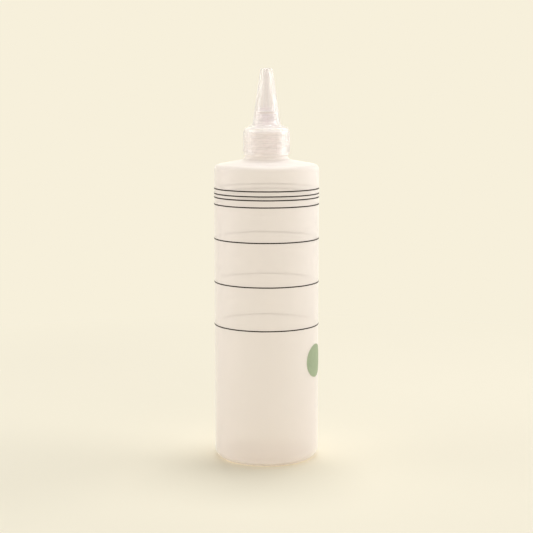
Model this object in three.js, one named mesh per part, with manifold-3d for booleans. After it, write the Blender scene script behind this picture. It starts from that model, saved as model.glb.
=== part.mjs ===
// A squeeze bottle for mixing shampoo with water, with printed fill lines and a twist-open spout.
// Millimetres, +Z up. The origin is on the floor at the bottle's axis, and -Y is the front.
import * as THREE from 'three';
import { mergeVertices } from 'three/addons/utils/BufferGeometryUtils.js';
import Module from 'manifold-3d';

const wasm = await Module();
wasm.setup();

// Clearances between separate pieces.
const seatGap = 0.3;
const runningGap = 0.3;
const printGap = 0.05;

// Bottle body: a blow-moulded cylinder with a sloping shoulder and a concave base.
const bodyDiameter = 62;
const bodyWall = 1;
const shoulderHeight = 175.6;
const shoulderRadius = 3;
const shoulderSlope = THREE.MathUtils.degToRad(10.3);
const heelRadius = 5.5;
const standRingWidth = 3;
const standRingFillet = 1;
const pushUpDepth = 3;
const pushUpSlopeWidth = 8;
const pushUpFillet = 6;

// Neck: a bead under a 24 mm screw finish.
const finishDiameter = 21.8;
const finishHeight = 12.8;
const neckWall = 1.9;
const neckFillet = 2.4;
const beadProud = 1.75;
const beadLand = 0.4;
const rimFillet = 0.4;

// Printed fill lines: the drop of the highest below the shoulder, then the step down to each of the others.
const line1Drop = 13.6;
const line2Step = 2.9;
const line3Step = 2.2;
const line4Step = 4.1;
const line5Step = 20.4;
const line6Step = 25.8;
const line7Step = 25.5;
const lineHeight = 0.7;
const inkThickness = 0.12;

// Round sticker on the side of the body, below the lowest line and turned from the front towards +X.
const dotDiameter = 19.8;
const dotLineGap = 10.35;
const dotTurn = THREE.MathUtils.degToRad(68);
const stickerThickness = 0.12;

// Screw cap: a ribbed skirt, a deck, and the post on which the spout turns.
const threadDepth = 1;
const threadClearance = 0.3;
const skirtWall = 1.2;
const skirtDraft = 0.15;
const deckThickness = 1.8;
const deckEdgeRadius = 2;
const postDiameter = 9.6;
const postWall = 1.6;
const postHeight = 11.5;
const postFillet = 0.8;

// Grip ribs: their number, and each rib's width at its root and tip as a share of the pitch.
const ribCount = 60;
const ribRootShare = 0.9;
const ribTipShare = 0.45;
const ribProud = 0.35;
const ribSink = 0.15;
const ribFootMargin = 1.4;
const ribTopMargin = 2.2;

// Washer between the neck's rim and the deck.
const washerThickness = 1;
const washerWidth = 4;

// Sealing pin: webs carry it inside the post, and its tip plugs the spout's orifice.
const webCount = 3;
const webThickness = 1;
const webFootMargin = 2.5;
const webTopMargin = 2;
const flowGap = 1.2;
const pinTipDrop = 0.3;

// Spout: a hollow cone over a foot flange, which turns up and down on the post.
const spoutHeight = 34.2;
const spoutThreadDepth = 0.9;
const spoutFootWall = 2.5;
const flangeProud = 2.3;
const flangeThickness = 0.5;
const flangeFillet = 2.1;
const orificeDiameter = 3;
const orificeLand = 2;
const funnelHeight = 1.5;
const funnelFlare = 0.55;
const tipWall = 2.1;
const tipFillet = 0.8;
const cavityGap = 0.8;

// Seal ring: it rides up and down with the spout and wipes the post.
const sealRingHeight = 1.4;
const sealRingDrop = 2;

// Facets.
const bodySegments = 48;
const spoutSegments = 36;
const pinSegments = 16;
const dotSegments = 32;
const filletSteps = 4;

// Radii that follow from the sizes above.
const bodyRadius = bodyDiameter / 2;
const printRadius = bodyRadius + printGap;
const finishRadius = finishDiameter / 2;
const beadRadius = finishRadius + beadProud;
const neckBoreRadius = finishRadius - neckWall;
const capBoreRadius = finishRadius + threadDepth + threadClearance;
const skirtRadius = capBoreRadius + skirtWall;
const postRadius = postDiameter / 2;
const postBoreRadius = postRadius - postWall;
const postClearRadius = postRadius + runningGap;
const spoutBoreRadius = postClearRadius + spoutThreadDepth;
const orificeRadius = orificeDiameter / 2;
const funnelRadius = orificeRadius + funnelFlare;

// Steps from the shoulder down to each fill line in turn.
const lineSteps = [line1Drop, line2Step, line3Step, line4Step, line5Step, line6Step, line7Step];

// Heights on the bottle, from the floor.
const neckFoot = shoulderHeight + (bodyRadius - beadRadius) * Math.tan(shoulderSlope);
const neckFilletRise = neckFillet * Math.tan((Math.PI / 2 - shoulderSlope) / 2);
const beadTop = neckFoot + neckFilletRise + beadLand;
const rimHeight = beadTop + finishHeight;
const deckHeight = rimHeight + seatGap + washerThickness + seatGap + deckThickness;

// Heights in the closure, from the top of the cap's deck.
const capFoot = beadTop + seatGap - deckHeight;
const washerFoot = rimHeight + seatGap - deckHeight;
const spoutFoot = seatGap;
const spoutTop = spoutFoot + spoutHeight;
const funnelTop = spoutTop - orificeLand;
const funnelFoot = funnelTop - funnelHeight;
const cavityFoot = postHeight + cavityGap;
const sealRingSeat = postHeight - sealRingDrop;

function plastic(color, roughness, opacity = 1) {
  const transparent = opacity < 1;
  return new THREE.MeshStandardMaterial({ color, roughness, metalness: 0, opacity, transparent });
}

const frostedPlastic = () => plastic(0xece3d8, 0.45, 0.7);
const capPlastic = () => plastic(0xf1ebe4, 0.35, 0.7);
const spoutPlastic = () => plastic(0xf3ede8, 0.3, 0.65);
const foam = () => plastic(0xf7f5f0, 0.8);
const sealRubber = () => plastic(0xe9e4dc, 0.6);
const ink = () => plastic(0x2a2624, 0.5);
const stickerPaper = () => plastic(0xaebb98, 0.6);

// Points of an outline through corners [radius, height, fillet], with each fillet as an arc.
function roundedOutline(corners, closed = false) {
  const count = corners.length;
  const points = [];
  corners.forEach(([x, y, fillet = 0], i) => {
    const corner = new THREE.Vector2(x, y);
    if (fillet === 0) {
      points.push(corner);
      return;
    }
    const [beforeX, beforeY] = corners[(i + count - 1) % count];
    const [afterX, afterY] = corners[(i + 1) % count];
    const toBefore = new THREE.Vector2(beforeX - x, beforeY - y).normalize();
    const toAfter = new THREE.Vector2(afterX - x, afterY - y).normalize();
    const halfAngle = Math.acos(toBefore.dot(toAfter)) / 2;
    const bisector = toBefore.clone().add(toAfter).normalize();
    const centre = corner.clone().addScaledVector(bisector, fillet / Math.sin(halfAngle));
    const start = corner.clone().addScaledVector(toBefore, fillet / Math.tan(halfAngle));
    const turn = -Math.sign(toBefore.cross(toAfter)) * (Math.PI - 2 * halfAngle);
    for (let step = 0; step <= filletSteps; step++) {
      points.push(start.clone().rotateAround(centre, (turn * step) / filletSteps));
    }
  });
  if (closed) points.push(points[0].clone());
  return points;
}

// Turns an outline round the Z axis, starting at the front.
function revolve(outline, segments) {
  return new THREE.LatheGeometry(outline, segments).rotateX(Math.PI / 2);
}

// A ring of rectangular section.
function ring(innerRadius, outerRadius, foot, height, segments) {
  const section = [
    [innerRadius, foot],
    [outerRadius, foot],
    [outerRadius, foot + height],
    [innerRadius, foot + height],
  ];
  return revolve(roundedOutline(section, true), segments);
}

// A closed geometry as a solid that can be joined and cut.
function solidOf(geometry) {
  const bare = geometry.clone();
  bare.deleteAttribute('normal');
  bare.deleteAttribute('uv');
  const merged = mergeVertices(bare);
  const vertProperties = merged.attributes.position.array;
  const triVerts = new Uint32Array(merged.index.array);
  return new wasm.Manifold(new wasm.Mesh({ numProp: 3, vertProperties, triVerts }));
}

function geometryOf(solid) {
  const { vertProperties, triVerts } = solid.getMesh();
  const geometry = new THREE.BufferGeometry();
  geometry.setAttribute('position', new THREE.BufferAttribute(vertProperties, 3));
  geometry.setIndex(new THREE.BufferAttribute(triVerts, 1));
  geometry.computeVertexNormals();
  return geometry;
}

// The bottle's wall: up the outside from the middle of the base to the rim, then down the inside.
function bottleGeometry() {
  const innerRadius = bodyRadius - bodyWall;
  const standInnerRadius = bodyRadius - heelRadius - standRingWidth;
  const pushUpRadius = standInnerRadius - pushUpSlopeWidth;
  const slope = Math.tan(shoulderSlope);
  const innerShoulder = shoulderHeight + bodyWall * slope - bodyWall / Math.cos(shoulderSlope);
  const innerNeckFoot = innerShoulder + (innerRadius - neckBoreRadius) * slope;
  const innerShoulderRadius = Math.max(shoulderRadius - bodyWall, 0);
  const innerHeelRadius = Math.max(heelRadius - bodyWall, 0);
  return revolve(
    roundedOutline([
      [0, pushUpDepth],
      [pushUpRadius, pushUpDepth, pushUpFillet],
      [standInnerRadius, 0, standRingFillet],
      [bodyRadius, 0, heelRadius],
      [bodyRadius, shoulderHeight, shoulderRadius],
      [beadRadius, neckFoot, neckFillet],
      [beadRadius, beadTop],
      [finishRadius, beadTop],
      [finishRadius, rimHeight, rimFillet],
      [neckBoreRadius, rimHeight, rimFillet],
      [neckBoreRadius, innerNeckFoot, neckFillet],
      [innerRadius, innerShoulder, innerShoulderRadius],
      [innerRadius, bodyWall, innerHeelRadius],
      [standInnerRadius, bodyWall, standRingFillet],
      [pushUpRadius, pushUpDepth + bodyWall, pushUpFillet],
      [0, pushUpDepth + bodyWall],
    ]),
    bodySegments,
  );
}

// A printed band round the body.
function fillLineGeometry() {
  return ring(printRadius, printRadius + inkThickness, -lineHeight / 2, lineHeight, bodySegments);
}

// A disc wrapped on the wall: the part of a thin sleeve that lies inside a radial cylinder.
function colourDotGeometry() {
  const dotRadius = dotDiameter / 2;
  const sleeveHeight = 2 * dotDiameter;
  const sleeve = ring(
    printRadius,
    printRadius + stickerThickness,
    -sleeveHeight / 2,
    sleeveHeight,
    bodySegments,
  );
  const cutter = new THREE.CylinderGeometry(dotRadius, dotRadius, bodyDiameter, dotSegments)
    .translate(0, -bodyRadius, 0)
    .rotateZ(dotTurn);
  return geometryOf(solidOf(sleeve).intersect(solidOf(cutter)));
}

function washerGeometry() {
  const outerRadius = capBoreRadius - runningGap;
  return ring(outerRadius - washerWidth, outerRadius, washerFoot, washerThickness, bodySegments);
}

// The cap's shell: the skirt with its draft, the deck and the hollow post.
function capShellGeometry() {
  return revolve(
    roundedOutline(
      [
        [capBoreRadius, capFoot],
        [skirtRadius + skirtDraft, capFoot],
        [skirtRadius, 0, deckEdgeRadius],
        [postRadius, 0, postFillet],
        [postRadius, postHeight],
        [postBoreRadius, postHeight],
        [postBoreRadius, -deckThickness],
        [capBoreRadius, -deckThickness],
      ],
      true,
    ),
    ribCount,
  );
}

// The band of grip ribs: a toothed ring whose inside is sunk into the skirt.
function gripRibGeometry() {
  const pitch = (2 * Math.PI) / ribCount;
  const rootRadius = skirtRadius - ribSink;
  const tipRadius = skirtRadius + ribProud;
  const toothCorners = [
    [rootRadius, -ribRootShare / 2],
    [tipRadius, -ribTipShare / 2],
    [tipRadius, ribTipShare / 2],
    [rootRadius, ribRootShare / 2],
  ];
  const axis = new THREE.Vector2();
  const points = [];
  for (let rib = 0; rib < ribCount; rib++) {
    for (const [radius, share] of toothCorners) {
      points.push(new THREE.Vector2(radius, 0).rotateAround(axis, (rib + share) * pitch));
    }
  }
  const outline = new THREE.Shape(points);
  outline.holes.push(new THREE.Path().absarc(0, 0, skirtRadius - skirtWall / 2, 0, 2 * Math.PI, true));
  const foot = capFoot + ribFootMargin;
  const depth = -ribTopMargin - foot;
  const settings = { depth, curveSegments: ribCount / 4, bevelEnabled: false };
  return new THREE.ExtrudeGeometry(outline, settings).translate(0, 0, foot);
}

// The sealing pin: it tapers above the post to a plug that stands in the spout's orifice.
function sealingPinGeometry() {
  const rootRadius = postBoreRadius - flowGap;
  const tipRadius = orificeRadius - runningGap;
  const tipTop = spoutTop - pinTipDrop;
  return revolve(
    roundedOutline([
      [0, webFootMargin],
      [rootRadius, webFootMargin],
      [rootRadius, postHeight],
      [tipRadius, funnelFoot],
      [tipRadius, tipTop],
      [0, tipTop],
    ]),
    pinSegments,
  );
}

// A web from the pin to the middle of the post's wall.
function webGeometry(index) {
  const reach = postRadius - postWall / 2;
  const height = postHeight - webFootMargin - webTopMargin;
  return new THREE.BoxGeometry(reach, webThickness, height)
    .translate(reach / 2, 0, webFootMargin + height / 2)
    .rotateZ((2 * Math.PI * index) / webCount);
}

function screwCapGeometry() {
  let cap = solidOf(capShellGeometry()).add(solidOf(gripRibGeometry())).add(solidOf(sealingPinGeometry()));
  for (let index = 0; index < webCount; index++) {
    cap = cap.add(solidOf(webGeometry(index)));
  }
  return geometryOf(cap);
}

function sealRingGeometry() {
  const foot = sealRingSeat - runningGap - sealRingHeight;
  return ring(postClearRadius, spoutBoreRadius - runningGap, foot, sealRingHeight, spoutSegments);
}

// The spout: up the outside from the foot flange to the tip, then down through the orifice,
// the funnel and the tapering cavity to the step that holds the seal ring and the threaded bore.
function twistSpoutGeometry() {
  const coneFootRadius = spoutBoreRadius + spoutFootWall;
  const flangeRadius = coneFootRadius + flangeProud;
  const flangeTop = spoutFoot + flangeThickness;
  return revolve(
    roundedOutline(
      [
        [spoutBoreRadius, spoutFoot],
        [flangeRadius, spoutFoot],
        [flangeRadius, flangeTop],
        [coneFootRadius, flangeTop, flangeFillet],
        [orificeRadius + tipWall, spoutTop, tipFillet],
        [orificeRadius, spoutTop],
        [orificeRadius, funnelTop],
        [funnelRadius, funnelFoot],
        [postClearRadius, cavityFoot],
        [postClearRadius, sealRingSeat],
        [spoutBoreRadius, sealRingSeat],
      ],
      true,
    ),
    spoutSegments,
  );
}

function piece(name, geometry, material, height = 0) {
  const mesh = new THREE.Mesh(geometry, material);
  mesh.name = name;
  mesh.position.z = height;
  return mesh;
}

const body = new THREE.Group();
body.add(piece('bottle', bottleGeometry(), frostedPlastic()));
let level = shoulderHeight;
lineSteps.forEach((step, index) => {
  level -= step;
  body.add(piece(`fill_line_${index + 1}`, fillLineGeometry(), ink(), level));
});
const dotLevel = level - lineHeight / 2 - dotLineGap - dotDiameter / 2;
body.add(piece('colour_dot', colourDotGeometry(), stickerPaper(), dotLevel));

const closure = new THREE.Group();
closure.position.z = deckHeight;
closure.add(piece('sealing_washer', washerGeometry(), foam()));
closure.add(piece('screw_cap', screwCapGeometry(), capPlastic()));
closure.add(piece('spout_seal_ring', sealRingGeometry(), sealRubber()));
closure.add(piece('twist_spout', twistSpoutGeometry(), spoutPlastic()));

const mixingBottle = new THREE.Group();
mixingBottle.add(body, closure);

export default mixingBottle;
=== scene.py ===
"""Looks of a translucent mixing bottle with printed fill lines, a screw cap and a twist-open spout."""
import math
from collections import namedtuple

import bmesh
import bpy
from bpy.props import FloatProperty, FloatVectorProperty, IntProperty, PointerProperty
from mathutils import Matrix, Vector


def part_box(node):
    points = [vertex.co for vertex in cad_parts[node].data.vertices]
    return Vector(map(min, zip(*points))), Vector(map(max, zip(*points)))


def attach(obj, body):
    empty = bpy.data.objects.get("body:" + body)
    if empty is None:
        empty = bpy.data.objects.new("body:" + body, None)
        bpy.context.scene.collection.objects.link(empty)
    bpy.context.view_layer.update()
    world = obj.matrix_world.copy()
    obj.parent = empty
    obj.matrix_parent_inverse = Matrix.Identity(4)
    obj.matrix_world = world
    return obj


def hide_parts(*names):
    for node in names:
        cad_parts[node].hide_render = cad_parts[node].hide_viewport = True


bl_info = {
    "name": "Mixing bottle",
    "version": (1, 0, 0),
    "blender": (4, 5, 0),
    "location": "View3D > Sidebar > Mixing Bottle",
    "description": "Adds the finished pieces of a mixing bottle to its packed frame",
    "category": "Object",
}

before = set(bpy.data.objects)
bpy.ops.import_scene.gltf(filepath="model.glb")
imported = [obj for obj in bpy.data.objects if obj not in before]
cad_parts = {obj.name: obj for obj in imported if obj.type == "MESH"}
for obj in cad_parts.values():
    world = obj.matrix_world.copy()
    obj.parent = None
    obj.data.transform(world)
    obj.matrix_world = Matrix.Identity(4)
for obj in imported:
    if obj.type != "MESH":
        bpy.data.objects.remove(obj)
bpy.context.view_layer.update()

# Metres in one millimetre, and the distance within which vertices merge.
MM = 0.001
MERGE = 0.002 * MM

# A turned piece is made of equal sectors. Its steps are counted in a full turn.
SECTORS = 8
BODY_STEPS = 160
CLOSURE_STEPS = 128
PIN_STEPS = 64

# Steps of other round shapes: a rounded corner, a grip rib, a web's edge, the sticker and the floor.
FILLET_STEPS = 6
STEPS_PER_RIB = 6
WEB_EDGE_STEPS = 2
STICKER_STEPS = 72
STICKER_CUTS = 7
FLOOR_STEPS = 96

# Edges sharper than this stay crisp.
CRISP_ANGLE = math.radians(38)

# Shares of a thread's pitch: half widths of its root and crest, and the run-out of its ends.
THREAD_ROOT = 0.25
THREAD_CREST = 0.10
THREAD_RUN_OUT = 0.35

# Cuts of a threaded wall in each pitch.
THREAD_CUTS = 16

# Walls that light may cross in the closure, and how often it may scatter there.
WALLS_CROSSED = 32
SCATTERINGS = 8

# How strongly the closure's plastic bends light.
REFRACTION = 1.45

# Share of light that plastic mirrors head-on, and how close to its edges it turns mirror-like and cloudy.
MIRROR_LEAST = 0.04
MIRROR_POWER = 5.0
CLOUD_POWER = 2.0

# The direction and the foot of the axis that pieces are turned round, and plain white.
UP = (0.0, 0.0, 1.0)
ORIGIN = (0.0, 0.0, 0.0)
WHITE = (1.0, 1.0, 1.0)

Thread = namedtuple("Thread", "radius foot top pitch depth front_level")
Thread.__doc__ = "A screw thread on a straight wall. A depth below zero points towards the axis."

Wave = namedtuple("Wave", "count share shift")
Wave.__doc__ = "Waves in a turn, their share of the wobble, and their shift in radians per metre of height."

# The two waves that the edges of a printed line wander in.
SLOW_WAVE = Wave(11, 0.30, 900.0)
FAST_WAVE = Wave(29, 0.18, 500.0)

# Corners of the solids that the pieces stand for.
bottle_low, bottle_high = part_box("bottle")
cap_low, cap_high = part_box("screw_cap")
spout_low, spout_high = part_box("twist_spout")
washer_low, washer_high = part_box("sealing_washer")
ring_low, ring_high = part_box("spout_seal_ring")
dot_low, dot_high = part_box("colour_dot")
LINE_NODES = sorted(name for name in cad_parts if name.startswith("fill_line_"))


def length(name, description, millimetres):
    """A size that a user can change."""
    return FloatProperty(
        name=name, description=description, default=millimetres * MM, min=0.0, unit="LENGTH", precision=5
    )


def angle(name, description, degrees):
    """An angle that a user can change."""
    return FloatProperty(name=name, description=description, default=math.radians(degrees), subtype="ANGLE")


def share(name, description, default):
    """A share from 0 to 1 that a user can change."""
    return FloatProperty(
        name=name, description=description, default=default, min=0.0, max=1.0, subtype="FACTOR"
    )


def number(name, description, default, least):
    """A count that a user can change."""
    return IntProperty(name=name, description=description, default=default, min=least)


def colour(name, description, default):
    """A colour that a user can change."""
    return FloatVectorProperty(
        name=name, description=description, default=default, min=0.0, max=1.0, size=3, subtype="COLOR"
    )


def spot(name, description, metres):
    """A place that a user can change."""
    return FloatVectorProperty(
        name=name, description=description, default=metres, size=3, subtype="TRANSLATION", unit="LENGTH"
    )


def power(name, description, watts):
    """The power of a lamp that a user can change."""
    return FloatProperty(name=name, description=description, default=watts, min=0.0, unit="POWER")


class BodySizes(bpy.types.PropertyGroup):
    """Sizes of the blown bottle and its neck."""

    wall: length("Wall", "Thickness of the blown wall", 1.0)
    shoulder_height: length("Shoulder height", "Height of the corner between body and shoulder", 175.6)
    shoulder_fillet: length("Shoulder fillet", "Rounding of the shoulder's corner", 3.0)
    shoulder_slope: angle("Shoulder slope", "Rise of the shoulder towards the neck", 10.3)
    heel_radius: length("Heel radius", "Rounding at the foot of the body", 5.5)
    stand_width: length("Stand ring width", "Width of the flat ring that the bottle stands on", 3.0)
    stand_fillet: length("Stand ring fillet", "Rounding inside the stand ring", 1.0)
    push_up_depth: length("Push-up depth", "Depth of the hollow in the base", 3.0)
    push_up_slope: length("Push-up slope", "Width of the slope round the hollow in the base", 8.0)
    push_up_fillet: length("Push-up fillet", "Rounding at the top of that slope", 6.0)
    seam_width: length("Seam width", "Width of the line that the mould's halves leave", 0.6)
    finish_radius: length("Finish radius", "Radius of the neck between its threads", 10.9)
    finish_height: length("Finish height", "Height of the neck above its bead", 12.8)
    neck_wall: length("Neck wall", "Thickness of the neck's wall", 1.9)
    neck_fillet: length("Neck fillet", "Rounding between shoulder and neck", 2.4)
    bead_proud: length("Bead", "How far the bead stands out from the neck", 1.75)
    bead_fillet: length("Bead fillet", "Rounding of the bead's upper edge", 0.25)
    rim_fillet: length("Rim fillet", "Rounding of the rim's edges", 0.4)
    thread_pitch: length("Thread pitch", "Rise of the neck's thread in one turn", 3.175)
    thread_depth: length("Thread depth", "Height of the thread on neck and cap", 0.85)
    thread_level: length("Thread level", "Height of the lowest crest at the front of the neck", 187.5)
    thread_foot_margin: length("Thread foot", "Plain band below the neck's thread", 1.2)
    thread_top_margin: length("Thread top", "Plain band above the neck's thread", 0.7)


class ClosureSizes(bpy.types.PropertyGroup):
    """Sizes of the screw cap, the twist-open spout and their seals."""

    skirt_wall: length("Skirt wall", "Thickness of the cap's skirt", 1.2)
    skirt_draft: length("Skirt draft", "How much wider the skirt is at its foot", 0.15)
    skirt_fillet: length("Skirt fillet", "Rounding of the skirt's lower edges", 0.3)
    skirt_thread_foot: length("Skirt thread foot", "Plain band below the skirt's thread", 0.8)
    skirt_thread_top: length("Skirt thread top", "Plain band above the skirt's thread", 1.8)
    deck_gap: length("Deck gap", "Gap between washer and deck", 0.3)
    deck_thickness: length("Deck", "Thickness of the cap's deck", 1.8)
    deck_fillet: length("Deck fillet", "Rounding of the deck's edge", 2.0)
    rib_count: number("Ribs", "Number of grip ribs", 60, least=12)
    rib_proud: length("Rib height", "How far the grip ribs stand out", 0.35)
    rib_root: share("Rib root", "Width of a rib's root as a share of the pitch", 0.9)
    rib_tip: share("Rib tip", "Width of a rib's tip as a share of the pitch", 0.4)
    rib_foot_margin: length("Rib foot", "Plain band below the ribs", 1.4)
    rib_top_margin: length("Rib top", "Plain band above the ribs", 2.2)
    rib_end: length("Rib end", "Length of the slope at each end of a rib", 0.35)
    post_radius: length("Post radius", "Radius of the post between its threads", 4.8)
    post_height: length("Post height", "Height of the post above the deck", 11.5)
    post_wall: length("Post wall", "Thickness of the post's wall", 1.6)
    post_fillet: length("Post fillet", "Rounding at the foot of the post", 0.8)
    post_edge: length("Post edge", "Rounding at the top of the post", 0.25)
    post_thread_foot: length("Post thread foot", "Plain band below the post's thread", 1.4)
    web_count: number("Webs", "Number of webs that carry the sealing pin", 3, least=2)
    web_thickness: length("Web thickness", "Thickness of each web", 1.0)
    web_edge: share("Web edge", "Rounding of the webs' edges as a share of their thickness", 0.2)
    web_foot_margin: length("Web foot", "Height of the webs' feet above the deck", 2.5)
    web_top_margin: length("Web top", "Depth of the webs' tops below the post's top", 2.0)
    pin_radius: length("Pin radius", "Radius of the sealing pin inside the post", 2.0)
    pin_tip_radius: length("Pin tip", "Radius of the pin's plug", 1.2)
    pin_drop: length("Pin drop", "Depth of the pin's end below the spout's tip", 0.3)
    thread_pitch: length("Spout pitch", "Rise of the spout's thread in one turn", 2.5)
    thread_depth: length("Spout thread", "Height of the thread on post and spout", 0.75)
    thread_level: length("Spout thread level", "Height of the lowest crest at the front of the post", 200.9)
    thread_seal_gap: length("Thread gap", "Gap between the spout's threads and the seal ring", 0.2)
    bore_radius: length("Spout bore", "Radius of the spout's threaded bore", 6.0)
    bore_thread_foot: length("Bore thread foot", "Plain band below the bore's thread", 0.6)
    foot_wall: length("Spout foot wall", "Thickness of the cone's wall at its foot", 2.5)
    flange_thickness: length("Flange", "Thickness of the spout's foot flange", 0.5)
    flange_fillet: length("Flange fillet", "Rounding between flange and cone", 2.1)
    flange_edge: length("Flange edge", "Rounding of the flange's edges", 0.18)
    orifice_radius: length("Orifice", "Radius of the opening at the tip", 1.5)
    orifice_land: length("Orifice land", "Length of the straight opening", 2.0)
    funnel_height: length("Funnel", "Height of the flare under the opening", 1.5)
    funnel_flare: length("Funnel flare", "How much the flare widens", 0.55)
    tip_wall: length("Tip wall", "Thickness of the wall at the tip", 2.1)
    tip_fillet: length("Tip fillet", "Rounding of the tip's outer edge", 0.8)
    cavity_radius: length("Cavity", "Radius of the cavity just above the post", 5.1)
    cavity_gap: length("Cavity gap", "Height of the cavity's taper above the post", 0.8)
    washer_width: length("Washer width", "Width of the washer's ring", 4.0)
    seal_width: length("Seal width", "Width of the seal ring", 0.6)
    seal_drop: length("Seal seat", "Depth of the seal ring's seat below the post's top", 2.0)
    seal_fillet: length("Seal rounding", "Rounding of the washer and the seal ring", 0.2)


class PrintSizes(bpy.types.PropertyGroup):
    """Sizes of the printed lines and the sticker."""

    ink_thickness: length("Ink", "Thickness of the printed ink", 0.07)
    ink_fillet: length("Ink edge", "Rounding of a printed line's edges", 0.02)
    ink_wobble: length("Ink wobble", "How far a printed line's edges wander", 0.03)
    sticker_thickness: length("Sticker", "Thickness of the sticker", 0.1)
    sticker_turn: angle("Sticker turn", "Turn of the sticker from the front towards the right", 68.0)
    print_sink: length("Print sink", "How far ink and sticker reach into the wall", 0.01)


class Finishes(bpy.types.PropertyGroup):
    """Colours and surfaces of the pieces."""

    body_colour: colour("Body", "Colour of the bottle's plastic", (0.945, 0.912, 0.908))
    body_roughness: share("Body roughness", "Least roughness of the bottle's skin", 0.34)
    body_clear: share("Body clearness", "Share of light that goes straight through the skin", 0.55)
    neck_clear: share("Neck clearness", "The same share for the thicker neck", 0.42)
    body_glow: share("Body glow", "Share of scattered light that comes through the wall", 0.55)
    closure_glow: share("Closure glow", "The same share for cap and spout", 0.55)
    closure_bend: share("Closure bend", "Share of the unscattered light that cap and spout bend", 0.45)
    cap_colour: colour("Cap", "Colour of the cap's plastic", (0.998, 0.985, 0.985))
    cap_tint: colour("Cap tint", "Colour of light that crosses the cap's skin", (0.985, 0.98, 0.995))
    cap_roughness: share("Cap roughness", "Least roughness of the cap's skin", 0.09)
    cap_clear: share("Cap clearness", "Share of light that crosses the cap's skin unscattered", 0.85)
    spout_colour: colour("Spout", "Colour of the spout's plastic", (0.998, 0.985, 0.992))
    spout_tint: colour("Spout tint", "Colour of light that crosses the spout's skin", (0.938, 0.923, 0.938))
    spout_roughness: share("Spout roughness", "Least roughness of the spout's skin", 0.03)
    spout_clear: share("Spout clearness", "Share of light that crosses the spout's skin unscattered", 0.95)
    ink_colour: colour("Ink", "Colour of the printed lines", (0.010, 0.007, 0.005))
    sticker_colour: colour("Sticker", "Colour of the round sticker", (0.38, 0.465, 0.30))
    foam_colour: colour("Washer", "Colour of the foam washer", (0.96, 0.945, 0.94))
    rubber_colour: colour("Seal ring", "Colour of the seal ring", (0.95, 0.92, 0.91))


class StageSettings(bpy.types.PropertyGroup):
    """Floor, light and camera."""

    backdrop_colour: colour("Backdrop", "Colour of the floor and the backdrop", (0.93, 0.87, 0.71))
    floor_radius: length("Floor", "Radius of the floor", 12000.0)
    lit_radius: length("Lit floor", "Distance within which the floor shows light and shadow", 120.0)
    plain_radius: length("Plain floor", "Distance beyond which the floor is plain", 500.0)
    camera_distance: length("Camera distance", "Distance of the camera from the bottle's axis", 837.8)
    camera_height: length("Camera height", "Height of the camera", 229.2)
    camera_tilt: angle("Camera tilt", "How far the camera looks down", 7.767)
    camera_view: angle("Camera view", "Angle that the picture takes in", 21.27)
    world_light: share("World light", "Brightness of the even light", 0.42)
    top_place: spot("Top place", "Place of the soft light above", (0.05, 0.27, 1.3))
    top_size: length("Top size", "Width of the soft light above", 500.0)
    top_power: power("Top power", "Power of the soft light above", 7.0)
    key_place: spot("Key place", "Place of the soft light on the right", (1.2, 0.25, 0.5))
    key_size: length("Key size", "Width of the soft light on the right", 1200.0)
    key_power: power("Key power", "Power of the soft light on the right", 8.0)
    fill_place: spot("Fill place", "Place of the soft light on the left", (-1.2, 0.05, 0.4))
    fill_size: length("Fill size", "Width of the soft light on the left", 800.0)
    fill_power: power("Fill power", "Power of the soft light on the left", 2.5)


class Wire:
    """A socket of a node tree. Sums with it add Math nodes to the tree."""

    def __init__(self, tree, socket=None):
        self.tree = tree
        self.socket = socket

    def node(self, kind, settings=None, inputs=None, output=0):
        """Adds a node, sets it, fills its sockets with values or links, and gives one of its outputs."""
        made = self.tree.nodes.new(kind)
        for name, value in (settings or {}).items():
            setattr(made, name, value)
        for name, value in (inputs or {}).items():
            if isinstance(value, Wire):
                self.tree.links.new(value.socket, made.inputs[name])
            else:
                made.inputs[name].default_value = value
        return Wire(self.tree, made.outputs[output]) if made.outputs else None

    def maths(self, operation, first, second):
        """The result of one Math node."""
        return self.node("ShaderNodeMath", {"operation": operation}, {0: first, 1: second})

    def __add__(self, other):
        return self.maths("ADD", self, other)

    def __radd__(self, other):
        return self.maths("ADD", other, self)

    def __sub__(self, other):
        return self.maths("SUBTRACT", self, other)

    def __rsub__(self, other):
        return self.maths("SUBTRACT", other, self)

    def __mul__(self, other):
        return self.maths("MULTIPLY", self, other)

    def __rmul__(self, other):
        return self.maths("MULTIPLY", other, self)

    def __pow__(self, other):
        return self.maths("POWER", self, other)

    def mix(self, first, second):
        """The colour that goes from first to second as this value goes from 0 to 1."""
        settings = {"data_type": "RGBA", "clamp_factor": True}
        inputs = {0: self, 6: opaque(first), 7: opaque(second)}
        return self.node("ShaderNodeMix", settings, inputs, output=2)

    def ramp(self, low, high):
        """This value as a share of the way from low to high, kept between 0 and 1."""
        inputs = {"Value": self, "From Min": low, "From Max": high}
        return self.node("ShaderNodeMapRange", {"clamp": True}, inputs)


def opaque(shade):
    """A colour with its alpha."""
    return (*shade, 1.0)


def scaled(shade, factor):
    """A colour made darker or lighter."""
    return tuple(min(channel * factor, 1.0) for channel in shade)


def new_material(name):
    """An empty material and the start of its node tree."""
    material = bpy.data.materials.new(name)
    material.use_nodes = True
    material.node_tree.nodes.clear()
    return material, Wire(material.node_tree)


def place(graph):
    """Where a point is on its piece, in metres."""
    return graph.node("ShaderNodeTexCoord", output="Object")


def along(graph, where, axis):
    """How far a point is along an axis."""
    return graph.node("ShaderNodeSeparateXYZ", None, {"Vector": where}, output=axis)


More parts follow.
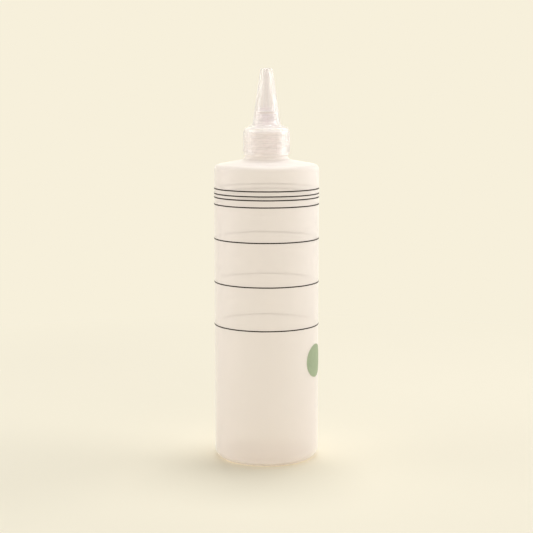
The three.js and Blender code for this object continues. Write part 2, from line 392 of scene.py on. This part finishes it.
def noise(graph, where, size, detail=2.0, stretch=None):
    """Cloudy variation from 0 to 1 with features of that size."""
    if stretch:
        where = graph.node("ShaderNodeMapping", None, {"Vector": where, "Scale": stretch})
    inputs = {"Vector": where, "Scale": 1.0 / size, "Detail": detail}
    return graph.node("ShaderNodeTexNoise", None, inputs, output="Fac")


def mottled(pattern, base, tones, reach=(0.3, 0.7)):
    """A colour that goes from the first tone to the second as a pattern goes through its reach."""
    first, second = tones
    return pattern.ramp(*reach).mix(scaled(base, first), scaled(base, second))


def bump(graph, height, depth, strength):
    """Surface relief of that depth."""
    return graph.node("ShaderNodeBump", None, {"Height": height, "Distance": depth, "Strength": strength})


def principled(graph, inputs):
    """The main shader, with the values or links of its sockets."""
    return graph.node("ShaderNodeBsdfPrincipled", None, inputs)


def mixed(graph, factor, first, second):
    """A mixture of two shaders."""
    return graph.node("ShaderNodeMixShader", None, {0: factor, 1: first, 2: second})


def output(graph, shader):
    """Ends a material with its shader."""
    graph.node("ShaderNodeOutputMaterial", None, {"Surface": shader})


def edge_share(graph, relief):
    """0 where a surface is seen head-on, and 1 at its edges."""
    return graph.node("ShaderNodeLayerWeight", None, {"Blend": 0.5, "Normal": relief}, output="Facing")


def milky(graph, base, shade, relief, glow, clear, window):
    """A milky body that light glows through, with a window in it that clouds over towards the edges."""
    matt = {"Base Color": shade, "Roughness": 1.0, "Specular IOR Level": 0.0, "Normal": relief}
    through = graph.node("ShaderNodeBsdfTranslucent", None, {"Color": opaque(base), "Normal": relief})
    dense = mixed(graph, glow, principled(graph, matt), through)
    return mixed(graph, clear * (1.0 - edge_share(graph, relief) ** CLOUD_POWER), dense, window)


def straight_view(graph, tint):
    """A window that light goes straight through."""
    return graph.node("ShaderNodeBsdfTransparent", None, {"Color": opaque(tint)})


def glossed(graph, body, rough, relief):
    """A thin shine over a body, stronger towards the edges."""
    inputs = {"Color": opaque(WHITE), "Roughness": rough, "Normal": relief}
    gloss = graph.node("ShaderNodeBsdfAnisotropic", None, inputs)
    mirror = MIRROR_LEAST + (1.0 - MIRROR_LEAST) * edge_share(graph, relief) ** MIRROR_POWER
    return mixed(graph, mirror, body, gloss)


def frosted_plastic(sizes):
    """Milky blown plastic: satin skin, faint streaks along the draw, and a wall that lets light through."""
    finish = bpy.context.scene.finishes
    material, graph = new_material("frosted_plastic")
    where = place(graph)
    cloud = noise(graph, where, size=30 * MM, detail=3.0)
    streak = noise(graph, where, size=2.5 * MM, stretch=(1.0, 1.0, 0.04))
    grain = noise(graph, where, size=0.35 * MM, detail=3.0)
    shade = mottled(cloud, finish.body_colour, (0.985, 1.015))
    rough = finish.body_roughness + cloud * 0.10 + grain * 0.06
    seam = 1.0 - graph.maths("ABSOLUTE", along(graph, where, "Y"), 0.0).ramp(0.0, sizes.seam_width / 2)
    height = cloud * 0.5 + streak * 0.08 + grain * 0.02 + seam * 0.2
    relief = bump(graph, height, depth=0.35 * MM, strength=0.4)
    in_neck = along(graph, where, "Z").ramp(sizes.shoulder_height, bottle_high.z - sizes.finish_height)
    clear = finish.body_clear + in_neck * (finish.neck_clear - finish.body_clear)
    window = straight_view(graph, WHITE)
    body = milky(graph, finish.body_colour, shade, relief, finish.body_glow, clear, window)
    output(graph, glossed(graph, body, rough, relief))
    return material


def moulded_plastic(name, base, tint, roughness, clear, flow_size):
    """Translucent moulded plastic with a soft gloss and faint flow marks, which bends some of the light."""
    finish = bpy.context.scene.finishes
    material, graph = new_material(name)
    where = place(graph)
    flow = noise(graph, where, size=flow_size)
    grain = noise(graph, where, size=0.25 * MM)
    shade = mottled(flow, base, (0.985, 1.015))
    rough = roughness + flow * 0.03 + grain * 0.02
    relief = bump(graph, flow * 0.5 + grain * 0.06, depth=0.06 * MM, strength=0.4)
    glass = {
        "Base Color": opaque(tint), "Roughness": rough, "IOR": REFRACTION,
        "Transmission Weight": 1.0, "Normal": relief,
    }
    window = mixed(graph, finish.closure_bend, straight_view(graph, tint), principled(graph, glass))
    body = milky(graph, base, shade, relief, finish.closure_glow, clear, window)
    output(graph, glossed(graph, body, rough, relief))
    return material


def cap_plastic():
    """The plastic of the cap, its post and its sealing pin."""
    finish = bpy.context.scene.finishes
    return moulded_plastic(
        "cap_plastic", finish.cap_colour, finish.cap_tint, finish.cap_roughness,
        finish.cap_clear, 4 * MM,
    )


def spout_plastic():
    """The spout's plastic, clearer and glossier than the cap's."""
    finish = bpy.context.scene.finishes
    return moulded_plastic(
        "spout_plastic", finish.spout_colour, finish.spout_tint, finish.spout_roughness,
        finish.spout_clear, 5 * MM,
    )


def printed_ink():
    """Black screen ink, a little thin in places."""
    finish = bpy.context.scene.finishes
    material, graph = new_material("black_ink")
    where = place(graph)
    patch = noise(graph, where, size=6 * MM, detail=3.0)
    mesh_marks = noise(graph, where, size=0.18 * MM, detail=1.0)
    shade = mottled(patch, finish.ink_colour, (1.0, 2.6), reach=(0.3, 0.75))
    rough = 0.5 + mesh_marks * 0.2
    relief = bump(graph, mesh_marks, depth=0.02 * MM, strength=0.6)
    ink = {"Base Color": shade, "Roughness": rough, "Specular IOR Level": 0.25, "Normal": relief}
    output(graph, principled(graph, ink))
    return material


def sticker_paper():
    """Pale green sticker paper with fibres and slightly rubbed patches."""
    finish = bpy.context.scene.finishes
    material, graph = new_material("green_sticker")
    where = place(graph)
    fibre = noise(graph, where, size=0.5 * MM, detail=4.0, stretch=(1.0, 1.0, 0.35))
    rubbed = noise(graph, where, size=5 * MM, detail=3.0)
    shade = mottled(fibre * 0.5 + rubbed * 0.5, finish.sticker_colour, (0.93, 1.09))
    rough = 0.55 + rubbed * 0.15
    relief = bump(graph, fibre, depth=0.03 * MM, strength=0.5)
    output(graph, principled(graph, {"Base Color": shade, "Roughness": rough, "Normal": relief}))
    return material


def washer_foam():
    """White foamed plastic with small closed cells."""
    finish = bpy.context.scene.finishes
    material, graph = new_material("washer_foam")
    cell_size = 0.3 * MM
    inputs = {"Vector": place(graph), "Scale": 1.0 / cell_size}
    cells = graph.node("ShaderNodeTexVoronoi", None, inputs, output="Distance")
    shade = mottled(cells, finish.foam_colour, (0.95, 1.0), reach=(0.1, 0.8))
    rough = 0.7 + cells * 0.15
    relief = bump(graph, cells, depth=0.06 * MM, strength=0.6)
    output(graph, principled(graph, {"Base Color": shade, "Roughness": rough, "Normal": relief}))
    return material


def seal_rubber():
    """Pale soft elastomer with a dull skin."""
    finish = bpy.context.scene.finishes
    material, graph = new_material("seal_rubber")
    bloom = noise(graph, place(graph), size=1.5 * MM, detail=3.0)
    shade = mottled(bloom, finish.rubber_colour, (0.94, 1.04))
    rough = 0.5 + bloom * 0.15
    relief = bump(graph, bloom, depth=0.03 * MM, strength=0.5)
    output(graph, principled(graph, {"Base Color": shade, "Roughness": rough, "Normal": relief}))
    return material


def rounded_outline(bm, corners, closed):
    """Joins corners (radius, height, fillet) by edges in the XZ plane and rounds those with a fillet."""
    points = [Vector((radius, 0.0, height)) for radius, height, fillet in corners]
    fillets = [fillet for radius, height, fillet in corners]
    verts = [bm.verts.new(point) for point in points]
    for first, second in zip(verts, verts[1:]):
        bm.edges.new((first, second))
    if closed:
        bm.edges.new((verts[-1], verts[0]))
    for index, fillet in enumerate(fillets):
        if fillet <= 0.0:
            continue
        to_before = points[index - 1] - points[index]
        to_after = points[(index + 1) % len(points)] - points[index]
        setback = fillet / math.tan(to_before.angle(to_after) / 2)
        bmesh.ops.bevel(
            bm, geom=[verts[index]], offset=setback, offset_type="OFFSET", affect="VERTICES",
            segments=FILLET_STEPS, profile=0.5, material=-1,
        )


def cut_for_thread(bm, thread):
    """Cuts the straight wall of an outline finely where a thread will rise from it."""
    spacing = thread.pitch / THREAD_CUTS
    for edge in list(bm.edges):
        on_wall = all(abs(vert.co.x - thread.radius) < MERGE for vert in edge.verts)
        middle = (edge.verts[0].co.z + edge.verts[1].co.z) / 2
        if on_wall and thread.foot < middle < thread.top:
            bmesh.ops.subdivide_edges(bm, edges=[edge], cuts=int(edge.calc_length() / spacing))


def smooth_step(value):
    """0 below 0, 1 above 1, and an even curve between."""
    value = min(max(value, 0.0), 1.0)
    return value * value * (3.0 - 2.0 * value)


def raise_thread(bm, thread):
    """Moves a turned wall outwards or inwards along a right-hand helix, with both ends run out."""
    root_half = THREAD_ROOT * thread.pitch
    crest_half = THREAD_CREST * thread.pitch
    run_out = THREAD_RUN_OUT * thread.pitch
    for vert in bm.verts:
        across = Vector((vert.co.x, vert.co.y))
        if abs(across.length - thread.radius) > MERGE or not thread.foot <= vert.co.z <= thread.top:
            continue
        turn = (math.atan2(across.y, across.x) + math.pi / 2) / (2 * math.pi)
        turns_up = (vert.co.z - thread.front_level) / thread.pitch - turn
        off_crest = abs(turns_up - round(turns_up)) * thread.pitch
        crest_level = thread.front_level + (round(turns_up) + turn) * thread.pitch
        to_end = min(crest_level - thread.foot, thread.top - crest_level) - root_half
        side = smooth_step((root_half - off_crest) / (root_half - crest_half))
        height = side * smooth_step(to_end / run_out)
        across *= (thread.radius + thread.depth * height) / thread.radius
        vert.co.x, vert.co.y = across


def turned(corners, steps, closed=True, threads=()):
    """A mesh that is turned from an outline round the Z axis, with threads on its straight walls."""
    bm = bmesh.new()
    rounded_outline(bm, corners, closed)
    for thread in threads:
        cut_for_thread(bm, thread)
    sector = 2 * math.pi / SECTORS
    bmesh.ops.spin(
        bm, geom=bm.verts[:] + bm.edges[:], axis=UP, cent=ORIGIN, angle=sector, steps=steps // SECTORS
    )
    bmesh.ops.spin(
        bm, geom=bm.verts[:] + bm.edges[:] + bm.faces[:], axis=UP, cent=ORIGIN,
        angle=2 * math.pi - sector, steps=SECTORS - 1, use_duplicate=True,
    )
    bmesh.ops.remove_doubles(bm, verts=bm.verts, dist=MERGE)
    bmesh.ops.recalc_face_normals(bm, faces=bm.faces)
    for thread in threads:
        raise_thread(bm, thread)
    return bm


def ring(inner, outer, foot, top, fillet, steps):
    """A turned ring of rectangular section with rounded edges."""
    corners = [(inner, foot, fillet), (outer, foot, fillet), (outer, top, fillet), (inner, top, fillet)]
    return turned(corners, steps)


def new_mesh(bm, name, material):
    """A mesh of one material, which uses up its bmesh."""
    mesh = bpy.data.meshes.new(name)
    bm.to_mesh(mesh)
    bm.free()
    mesh.materials.append(material)
    return mesh


def add_object(name, data):
    """Puts a mesh, lamp or lens into the scene."""
    made = bpy.data.objects.new(name, data)
    bpy.context.scene.collection.objects.link(made)
    return made


def add_piece(bm, name, material, body, node):
    """Makes a piece of a mesh, lets it ride on a body and stand for its solid."""
    mesh = new_mesh(bm, name, material)
    mesh.shade_smooth()
    mesh.set_sharp_from_angle(angle=CRISP_ANGLE)
    piece = add_object(name, mesh)
    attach(piece, body)
    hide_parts(node)


def bottle_mesh(sizes):
    """The bottle's wall: up the outside from the middle of the base to the rim, then down the inside."""
    radius = bottle_high.x
    rim = bottle_high.z
    inner = radius - sizes.wall
    stand_inner = radius - sizes.heel_radius - sizes.stand_width
    push_up = stand_inner - sizes.push_up_slope
    slope = math.tan(sizes.shoulder_slope)
    sloped_wall = sizes.wall / math.cos(sizes.shoulder_slope)
    bead = sizes.finish_radius + sizes.bead_proud
    bead_top = rim - sizes.finish_height
    bore = sizes.finish_radius - sizes.neck_wall
    neck_foot = sizes.shoulder_height + (radius - bead) * slope
    inner_shoulder = sizes.shoulder_height + sizes.wall * slope - sloped_wall
    inner_neck_foot = inner_shoulder + (inner - bore) * slope
    thread = Thread(
        sizes.finish_radius, bead_top + sizes.thread_foot_margin, rim - sizes.thread_top_margin,
        sizes.thread_pitch, sizes.thread_depth, sizes.thread_level,
    )
    corners = [
        (0.0, sizes.push_up_depth, 0.0),
        (push_up, sizes.push_up_depth, sizes.push_up_fillet),
        (stand_inner, 0.0, sizes.stand_fillet),
        (radius, 0.0, sizes.heel_radius),
        (radius, sizes.shoulder_height, sizes.shoulder_fillet),
        (bead, neck_foot, sizes.neck_fillet),
        (bead, bead_top, sizes.bead_fillet),
        (sizes.finish_radius, bead_top, 0.0),
        (sizes.finish_radius, rim, sizes.rim_fillet),
        (bore, rim, sizes.rim_fillet),
        (bore, inner_neck_foot, sizes.neck_fillet),
        (inner, inner_shoulder, sizes.shoulder_fillet - sizes.wall),
        (inner, sizes.wall, sizes.heel_radius - sizes.wall),
        (stand_inner, sizes.wall, sizes.stand_fillet),
        (push_up, sizes.push_up_depth + sizes.wall, sizes.push_up_fillet),
        (0.0, sizes.push_up_depth + sizes.wall, 0.0),
    ]
    return turned(corners, BODY_STEPS, closed=False, threads=[thread])


def deck_level(sizes):
    """Height of the top of the cap's deck."""
    return washer_high.z + sizes.deck_gap + sizes.deck_thickness


def post_level(sizes):
    """Height of the top of the cap's post."""
    return deck_level(sizes) + sizes.post_height


def raise_ribs(bm, sizes, skirt, foot, top):
    """Moves the skirt's outside outwards in a ring of grip ribs."""
    pitch = 2 * math.pi / sizes.rib_count
    for vert in bm.verts:
        across = Vector((vert.co.x, vert.co.y))
        if across.length < skirt - MERGE or not foot <= vert.co.z <= top:
            continue
        off_middle = abs(math.remainder(math.atan2(across.y, across.x), pitch)) / pitch
        side = (sizes.rib_root / 2 - off_middle) / ((sizes.rib_root - sizes.rib_tip) / 2)
        end = min(vert.co.z - foot, top - vert.co.z) / sizes.rib_end
        height = smooth_step(side) * smooth_step(end)
        if height > 0.0:
            across *= (skirt + sizes.rib_proud * height) / across.length
            vert.co.x, vert.co.y = across


def cap_mesh(body, sizes):
    """The cap's moulding: ribbed skirt, deck and hollow post, with threads in the skirt and on the post."""
    foot = cap_low.z
    deck = deck_level(sizes)
    ceiling = deck - sizes.deck_thickness
    skirt = cap_high.x - sizes.rib_proud
    bore = skirt - sizes.skirt_wall
    post_top = post_level(sizes)
    post_bore = sizes.post_radius - sizes.post_wall
    rib_foot = foot + sizes.rib_foot_margin
    rib_top = deck - sizes.rib_top_margin
    skirt_thread = Thread(
        bore, foot + sizes.skirt_thread_foot, ceiling - sizes.skirt_thread_top,
        body.thread_pitch, -body.thread_depth, body.thread_level - body.thread_pitch / 2,
    )
    post_thread = Thread(
        sizes.post_radius, deck + sizes.post_thread_foot, ring_low.z - sizes.thread_seal_gap,
        sizes.thread_pitch, sizes.thread_depth, sizes.thread_level,
    )
    corners = [
        (bore, foot, sizes.skirt_fillet),
        (skirt + sizes.skirt_draft, foot, sizes.skirt_fillet),
        (skirt, rib_foot, 0.0),
        (skirt, rib_foot + sizes.rib_end, 0.0),
        (skirt, rib_top - sizes.rib_end, 0.0),
        (skirt, rib_top, 0.0),
        (skirt, deck, sizes.deck_fillet),
        (sizes.post_radius, deck, sizes.post_fillet),
        (sizes.post_radius, post_top, sizes.post_edge),
        (post_bore, post_top, sizes.post_edge),
        (post_bore, ceiling, sizes.post_edge),
        (bore, ceiling, sizes.skirt_fillet),
    ]
    bm = turned(corners, STEPS_PER_RIB * sizes.rib_count, threads=[skirt_thread, post_thread])
    raise_ribs(bm, sizes, skirt, rib_foot, rib_top)
    return bm


def add_web(bm, sizes, foot, top, turn):
    """Adds a web from the axis to the middle of the post's wall, turned into its place."""
    reach = sizes.post_radius - sizes.post_wall / 2
    web = bmesh.ops.create_cube(bm, size=1.0)["verts"]
    bmesh.ops.scale(bm, verts=web, vec=(reach, sizes.web_thickness, top - foot))
    bmesh.ops.translate(bm, verts=web, vec=(reach / 2, 0.0, (foot + top) / 2))
    edges = list({edge for vert in web for edge in vert.link_edges})
    bevelled = bmesh.ops.bevel(
        bm, geom=edges, offset=sizes.web_edge * sizes.web_thickness, affect="EDGES",
        segments=WEB_EDGE_STEPS, profile=0.5, material=-1,
    )
    verts = list({vert for face in bevelled["faces"] for vert in face.verts})
    bmesh.ops.rotate(bm, verts=verts, cent=ORIGIN, matrix=Matrix.Rotation(turn, 3, "Z"))


def pin_mesh(sizes):
    """The sealing pin, with the webs that carry it in the post."""
    foot = deck_level(sizes) + sizes.web_foot_margin
    post_top = post_level(sizes)
    top = spout_high.z - sizes.pin_drop
    plug_foot = spout_high.z - sizes.orifice_land - sizes.funnel_height
    corners = [
        (0.0, foot, 0.0),
        (sizes.pin_radius, foot, sizes.post_edge),
        (sizes.pin_radius, post_top, 0.0),
        (sizes.pin_tip_radius, plug_foot, 0.0),
        (sizes.pin_tip_radius, top, sizes.post_edge),
        (0.0, top, 0.0),
    ]
    bm = turned(corners, PIN_STEPS, closed=False)
    for index in range(sizes.web_count):
        turn = 2 * math.pi * index / sizes.web_count
        add_web(bm, sizes, foot, post_top - sizes.web_top_margin, turn)
    return bm


def spout_mesh(sizes):
    """The spout: up the outside from the flange to the tip, then down through opening, cavity and bore."""
    foot = spout_low.z
    top = spout_high.z
    cone_foot = sizes.bore_radius + sizes.foot_wall
    flange = spout_high.x
    flange_top = foot + sizes.flange_thickness
    funnel_top = top - sizes.orifice_land
    funnel_foot = funnel_top - sizes.funnel_height
    post_top = post_level(sizes)
    seat = post_top - sizes.seal_drop
    thread = Thread(
        sizes.bore_radius, foot + sizes.bore_thread_foot, ring_low.z - sizes.thread_seal_gap,
        sizes.thread_pitch, -sizes.thread_depth, sizes.thread_level - sizes.thread_pitch / 2,
    )
    corners = [
        (sizes.bore_radius, foot, sizes.flange_edge),
        (flange, foot, sizes.flange_edge),
        (flange, flange_top, sizes.flange_edge),
        (cone_foot, flange_top, sizes.flange_fillet),
        (sizes.orifice_radius + sizes.tip_wall, top, sizes.tip_fillet),
        (sizes.orifice_radius, top, sizes.flange_edge),
        (sizes.orifice_radius, funnel_top, 0.0),
        (sizes.orifice_radius + sizes.funnel_flare, funnel_foot, 0.0),
        (sizes.cavity_radius, post_top + sizes.cavity_gap, 0.0),
        (sizes.cavity_radius, seat, sizes.flange_edge),
        (sizes.bore_radius, seat, sizes.flange_edge),
    ]
    return turned(corners, CLOSURE_STEPS, threads=[thread])


def sticker_mesh(sizes):
    """A round sticker wrapped on the wall."""
    wall = bottle_high.x
    dot_radius = (dot_high.z - dot_low.z) / 2
    level = (dot_high.z + dot_low.z) / 2
    bm = bmesh.new()
    bmesh.ops.create_circle(bm, cap_ends=True, cap_tris=True, segments=STICKER_STEPS, radius=dot_radius)
    spokes = [edge for edge in bm.edges if not edge.is_boundary]
    bmesh.ops.subdivide_edges(bm, edges=spokes, cuts=STICKER_CUTS)
    extruded = bmesh.ops.extrude_face_region(bm, geom=bm.faces[:], use_keep_orig=True)["geom"]
    raised = {element for element in extruded if isinstance(element, bmesh.types.BMVert)}
    for vert in bm.verts:
        radius = wall + sizes.sticker_thickness if vert in raised else wall - sizes.print_sink
        turn = sizes.sticker_turn + vert.co.x / wall
        vert.co = (radius * math.sin(turn), -radius * math.cos(turn), level + vert.co.y)
    bmesh.ops.remove_doubles(bm, verts=bm.verts, dist=MERGE)
    bmesh.ops.recalc_face_normals(bm, faces=bm.faces)
    return bm


def line_mesh(sizes, low, high):
    """A printed line: a thin ring of ink whose edges wander a little."""
    wall = bottle_high.x
    bm = ring(
        wall - sizes.print_sink, wall + sizes.ink_thickness, low.z, high.z, sizes.ink_fillet, BODY_STEPS
    )
    for vert in bm.verts:
        turn = math.atan2(vert.co.y, vert.co.x)
        slow = SLOW_WAVE.share * math.sin(SLOW_WAVE.count * turn + SLOW_WAVE.shift * low.z)
        fast = FAST_WAVE.share * math.sin(FAST_WAVE.count * turn + FAST_WAVE.shift * high.z)
        vert.co.z += sizes.ink_wobble * (slow + fast)
    return bm


class MIXING_BOTTLE_OT_bottle(bpy.types.Operator):
    """Adds the blown bottle with its threaded neck"""

    bl_idname = "mixing_bottle.bottle"
    bl_label = "Bottle"

    def execute(self, context):
        sizes = context.scene.body_sizes
        plastic = frosted_plastic(sizes)
        add_piece(bottle_mesh(sizes), "bottle_shell", plastic, "bottle_body", "bottle")
        return {"FINISHED"}


class MIXING_BOTTLE_OT_print(bpy.types.Operator):
    """Adds the printed fill lines and the round sticker"""

    bl_idname = "mixing_bottle.print"
    bl_label = "Fill lines and sticker"

    def execute(self, context):
        sizes = context.scene.print_sizes
        if not LINE_NODES:
            raise RuntimeError("the frame has no fill lines")
        ink = printed_ink()
        for node in LINE_NODES:
            line = line_mesh(sizes, *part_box(node))
            add_piece(line, node.replace("fill", "printed"), ink, "bottle_body", node)
        sticker = sticker_mesh(sizes)
        add_piece(sticker, "green_dot", sticker_paper(), "bottle_body", "colour_dot")
        return {"FINISHED"}


class MIXING_BOTTLE_OT_cap(bpy.types.Operator):
    """Adds the ribbed screw cap with its post and sealing pin"""

    bl_idname = "mixing_bottle.cap"
    bl_label = "Screw cap"

    def execute(self, context):
        sizes = context.scene.closure_sizes
        plastic = cap_plastic()
        shell = cap_mesh(context.scene.body_sizes, sizes)
        add_piece(shell, "cap_shell", plastic, "cap", "screw_cap")
        add_piece(pin_mesh(sizes), "sealing_pin", plastic, "cap", "screw_cap")
        return {"FINISHED"}


class MIXING_BOTTLE_OT_spout(bpy.types.Operator):
    """Adds the twist-open spout"""

    bl_idname = "mixing_bottle.spout"
    bl_label = "Spout"

    def execute(self, context):
        cone = spout_mesh(context.scene.closure_sizes)
        add_piece(cone, "spout_cone", spout_plastic(), "spout", "twist_spout")
        return {"FINISHED"}


class MIXING_BOTTLE_OT_seals(bpy.types.Operator):
    """Adds the washer in the cap and the seal ring in the spout"""

    bl_idname = "mixing_bottle.seals"
    bl_label = "Seals"

    def execute(self, context):
        sizes = context.scene.closure_sizes
        fillet = sizes.seal_fillet
        washer_inner = washer_high.x - sizes.washer_width
        washer = ring(washer_inner, washer_high.x, washer_low.z, washer_high.z, fillet, CLOSURE_STEPS)
        add_piece(washer, "foam_washer", washer_foam(), "washer", "sealing_washer")
        seal_inner = ring_high.x - sizes.seal_width
        seal = ring(seal_inner, ring_high.x, ring_low.z, ring_high.z, fillet, CLOSURE_STEPS)
        add_piece(seal, "rubber_ring", seal_rubber(), "seal_ring", "spout_seal_ring")
        return {"FINISHED"}


def seen_directly(graph):
    """1 for rays from the camera, a mirror-like surface or through plastic, and 0 for scattered light."""
    kinds = ("Is Camera Ray", "Is Glossy Ray", "Is Transmission Ray")
    return sum(graph.node("ShaderNodeLightPath", output=kind) for kind in kinds).ramp(0.0, 1.0)


def backdrop_paper(stage):
    """Pale paper: lit near the bottle, where it takes the shadow, and plain far away."""
    material, graph = new_material("backdrop_paper")
    where = place(graph)
    fibre = noise(graph, where, size=1.2 * MM, detail=3.0)
    cloud = noise(graph, where, size=400 * MM, detail=1.0)
    shade = mottled(cloud, stage.backdrop_colour, (0.97, 1.03))
    relief = bump(graph, fibre, depth=0.05 * MM, strength=0.2)
    paper = {"Base Color": shade, "Roughness": 0.9, "Specular IOR Level": 0.2, "Normal": relief}
    plain_inputs = {"Color": opaque(stage.backdrop_colour), "Strength": 1.0}
    plain = graph.node("ShaderNodeEmission", None, plain_inputs)
    away = graph.node("ShaderNodeVectorMath", {"operation": "LENGTH"}, {0: where}, output="Value")
    far = away.ramp(stage.lit_radius, stage.plain_radius) * seen_directly(graph)
    output(graph, mixed(graph, far, principled(graph, paper), plain))
    return material


def add_floor(stage):
    """A wide round floor."""
    bm = bmesh.new()
    bmesh.ops.create_circle(bm, cap_ends=True, segments=FLOOR_STEPS, radius=stage.floor_radius)
    add_object("floor", new_mesh(bm, "floor", backdrop_paper(stage)))


def light_world(stage):
    """Even light for the pieces, and the backdrop's colour where it is seen."""
    world = bpy.data.worlds.new("studio")
    bpy.context.scene.world = world
    world.use_nodes = True
    world.node_tree.nodes.clear()
    graph = Wire(world.node_tree)
    shade = seen_directly(graph).mix(scaled(WHITE, stage.world_light), stage.backdrop_colour)
    background = graph.node("ShaderNodeBackground", None, {"Color": shade, "Strength": 1.0})
    graph.node("ShaderNodeOutputWorld", None, {"Surface": background})


def add_soft_light(name, where, size, watts):
    """A square soft light that faces the middle of the bottle."""
    lamp = bpy.data.lights.new(name, "AREA")
    lamp.shape = "SQUARE"
    lamp.size = size
    lamp.energy = watts
    light = add_object(name, lamp)
    light.location = where
    middle = Vector((0.0, 0.0, bottle_high.z / 2))
    light.rotation_euler = (middle - Vector(where)).to_track_quat("-Z", "Y").to_euler()


def add_camera(stage):
    """The camera in front of the bottle, looking slightly down."""
    lens = bpy.data.cameras.new("camera")
    lens.sensor_fit = "HORIZONTAL"
    lens.angle = stage.camera_view
    camera = add_object("camera", lens)
    camera.location = (0.0, -stage.camera_distance, stage.camera_height)
    camera.rotation_euler = (math.pi / 2 - stage.camera_tilt, 0.0, 0.0)
    bpy.context.scene.camera = camera


def allow_light_steps(cycles):
    """Lets light cross all the nested walls of the closure unblurred, which would be dark otherwise."""
    cycles.blur_glossy = 0.0
    cycles.max_bounces = WALLS_CROSSED
    cycles.transmission_bounces = WALLS_CROSSED
    cycles.transparent_max_bounces = WALLS_CROSSED
    cycles.diffuse_bounces = SCATTERINGS
    cycles.glossy_bounces = SCATTERINGS


class MIXING_BOTTLE_OT_stage(bpy.types.Operator):
    """Adds the floor, the soft lights and the camera"""

    bl_idname = "mixing_bottle.stage"
    bl_label = "Stage"

    def execute(self, context):
        stage = context.scene.stage_settings
        add_floor(stage)
        light_world(stage)
        add_soft_light("top_light", stage.top_place, stage.top_size, stage.top_power)
        add_soft_light("key_light", stage.key_place, stage.key_size, stage.key_power)
        add_soft_light("fill_light", stage.fill_place, stage.fill_size, stage.fill_power)
        add_camera(stage)
        context.scene.view_settings.view_transform = "Standard"
        allow_light_steps(context.scene.cycles)
        return {"FINISHED"}


class MIXING_BOTTLE_PT_pieces(bpy.types.Panel):
    """The pieces of the mixing bottle"""

    bl_idname = "MIXING_BOTTLE_PT_pieces"
    bl_label = "Mixing Bottle"
    bl_space_type = "VIEW_3D"
    bl_region_type = "UI"
    bl_category = "Mixing Bottle"

    def draw(self, context):
        for operator in PIECE_OPERATORS:
            self.layout.operator(operator.bl_idname)


PROPERTY_GROUPS = {
    "body_sizes": BodySizes,
    "closure_sizes": ClosureSizes,
    "print_sizes": PrintSizes,
    "finishes": Finishes,
    "stage_settings": StageSettings,
}
PIECE_OPERATORS = (
    MIXING_BOTTLE_OT_bottle,
    MIXING_BOTTLE_OT_print,
    MIXING_BOTTLE_OT_cap,
    MIXING_BOTTLE_OT_spout,
    MIXING_BOTTLE_OT_seals,
    MIXING_BOTTLE_OT_stage,
)


def register():
    """Adds the settings, the operators and the panel."""
    for name, group in PROPERTY_GROUPS.items():
        bpy.utils.register_class(group)
        setattr(bpy.types.Scene, name, PointerProperty(type=group))
    for operator in PIECE_OPERATORS:
        bpy.utils.register_class(operator)
    bpy.utils.register_class(MIXING_BOTTLE_PT_pieces)


def unregister():
    """Takes away what register adds."""
    bpy.utils.unregister_class(MIXING_BOTTLE_PT_pieces)
    for operator in reversed(PIECE_OPERATORS):
        bpy.utils.unregister_class(operator)
    for name, group in reversed(PROPERTY_GROUPS.items()):
        delattr(bpy.types.Scene, name)
        bpy.utils.unregister_class(group)


def main():
    """Makes every piece and the stage, and writes down the sizes of the solids and of the pieces."""
    register()
    bpy.ops.mixing_bottle.bottle()
    bpy.ops.mixing_bottle.print()
    bpy.ops.mixing_bottle.cap()
    bpy.ops.mixing_bottle.spout()
    bpy.ops.mixing_bottle.seals()
    bpy.ops.mixing_bottle.stage()


if __name__ == "__main__":
    main()
